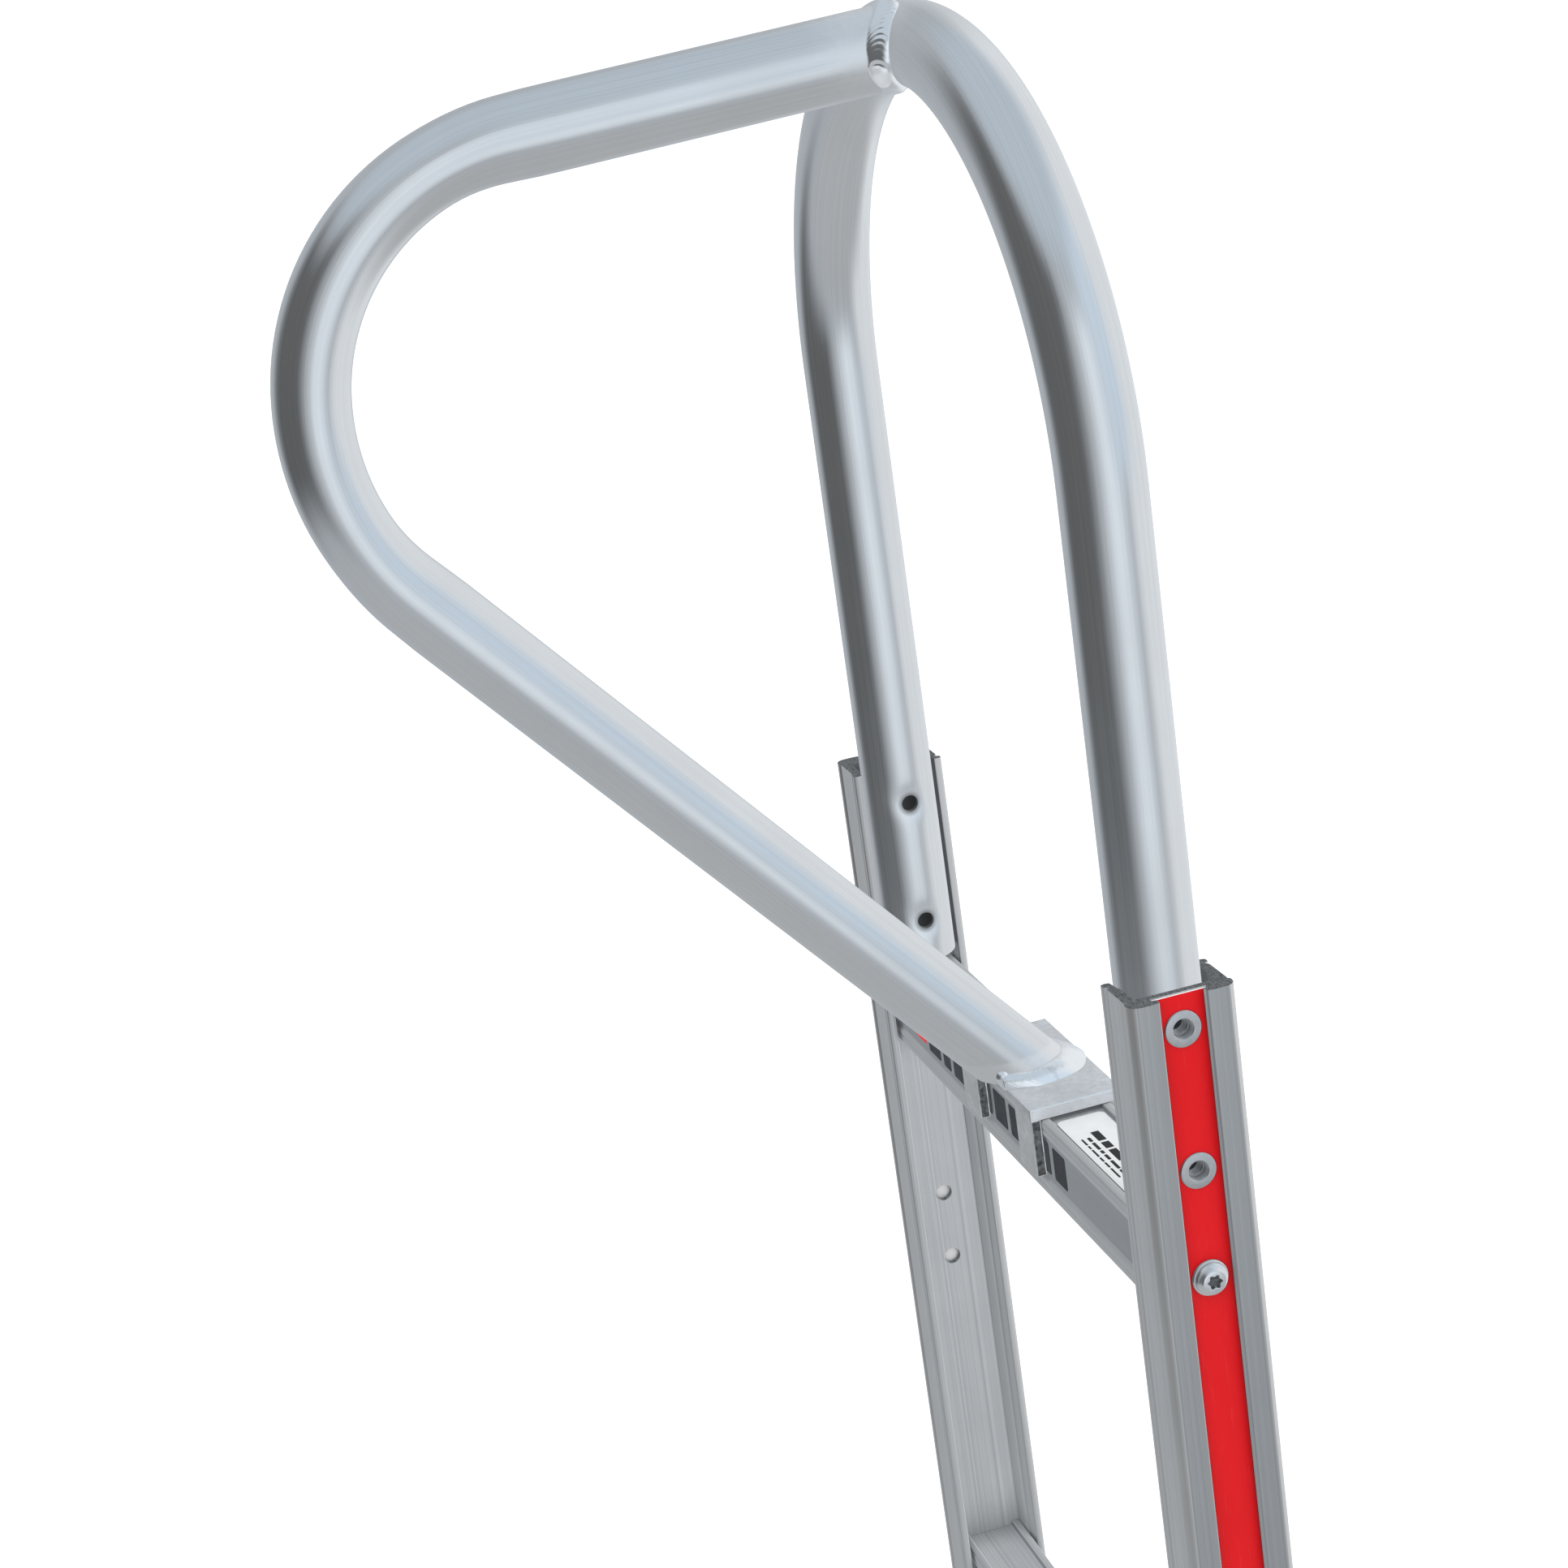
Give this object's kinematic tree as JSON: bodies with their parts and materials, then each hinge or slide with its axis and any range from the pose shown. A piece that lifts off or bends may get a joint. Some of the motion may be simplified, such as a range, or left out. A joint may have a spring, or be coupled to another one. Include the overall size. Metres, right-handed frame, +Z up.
{
  "type": "hand truck",
  "caption": "Upright aluminium hand truck with a loop handle, a bent grip brace behind it, cross-members, a nose plate and wheels behind the rails.",
  "frame": {"origin": "on the floor, under the middle of the bounding box", "axes": "+Z up along the rails, X across the truck along the axle, -Y forwards over the nose plate, +Y towards the person who pushes it"},
  "size_m": [0.536, 0.47, 1.3225],
  "materials": {
    "tube_aluminium": "satin drawn tube",
    "extruded_aluminium": "mill finish with fine lines along the extrusion",
    "saddle_aluminium": "matt blasted",
    "weld_bead": "bright rippled weld",
    "nose_aluminium": "brushed and scuffed",
    "cast_aluminium": "as cast",
    "rim_aluminium": "satin die cast",
    "sleeve_zinc": "zinc plated",
    "screw_zinc": "bright zinc plated",
    "axle_steel": "ground steel",
    "strip_red": "smooth plastic strip",
    "label_white": "plain vinyl label",
    "tyre_rubber": "moulded rubber",
    "valve_rubber": "moulded rubber"
  },
  "bodies": {
    "frame": {"loop_handle": "tube_aluminium", "grip_brace": "tube_aluminium", "crown_weld": "weld_bead", "foot_weld": "weld_bead", "brace_saddle": "saddle_aluminium", "cross_member_top": "extruded_aluminium", "cross_member_middle": "extruded_aluminium", "cross_member_lower": "extruded_aluminium", "capacity_label": "label_white", "nose_plate": "nose_aluminium", "axle": "axle_steel", "side_rail_left": "extruded_aluminium", "rail_strip_left": "strip_red", "handle_sleeve_left_1": "sleeve_zinc", "handle_sleeve_left_2": "sleeve_zinc", "member_screw_left_top": "screw_zinc", "member_screw_left_middle": "screw_zinc", "member_screw_left_lower": "screw_zinc", "nose_bolt_left_1": "screw_zinc", "nose_bolt_left_2": "screw_zinc", "bracket_bolt_left_1": "screw_zinc", "bracket_bolt_left_2": "screw_zinc", "axle_bracket_left": "cast_aluminium", "axle_washer_left_inner": "screw_zinc", "axle_washer_left_outer": "screw_zinc", "cotter_pin_left": "screw_zinc", "side_rail_right": "extruded_aluminium", "rail_strip_right": "strip_red", "handle_sleeve_right_1": "sleeve_zinc", "handle_sleeve_right_2": "sleeve_zinc", "member_screw_right_top": "screw_zinc", "member_screw_right_middle": "screw_zinc", "member_screw_right_lower": "screw_zinc", "nose_bolt_right_1": "screw_zinc", "nose_bolt_right_2": "screw_zinc", "bracket_bolt_right_1": "screw_zinc", "bracket_bolt_right_2": "screw_zinc", "axle_bracket_right": "cast_aluminium", "axle_washer_right_inner": "screw_zinc", "axle_washer_right_outer": "screw_zinc", "cotter_pin_right": "screw_zinc"},
    "left_wheel": {"tyre_left": "tyre_rubber", "rim_outer_left": "rim_aluminium", "rim_inner_left": "rim_aluminium", "bearing_outer_left": "axle_steel", "bearing_inner_left": "axle_steel", "rim_bolt_left_1": "screw_zinc", "rim_bolt_left_2": "screw_zinc", "rim_bolt_left_3": "screw_zinc", "valve_stem_left": "valve_rubber"},
    "right_wheel": {"tyre_right": "tyre_rubber", "rim_outer_right": "rim_aluminium", "rim_inner_right": "rim_aluminium", "bearing_outer_right": "axle_steel", "bearing_inner_right": "axle_steel", "rim_bolt_right_1": "screw_zinc", "rim_bolt_right_2": "screw_zinc", "rim_bolt_right_3": "screw_zinc", "valve_stem_right": "valve_rubber"}
  },
  "joints": [
    {"name": "left_wheel_spin", "type": "hinge", "parent": "frame", "child": "left_wheel", "pos_m": [0.221, 0.09151, 0.127], "axis": [1, 0, 0], "continuous": true},
    {"name": "right_wheel_spin", "type": "hinge", "parent": "frame", "child": "right_wheel", "pos_m": [-0.221, 0.09151, 0.127], "axis": [1, 0, 0], "continuous": true}
  ]
}
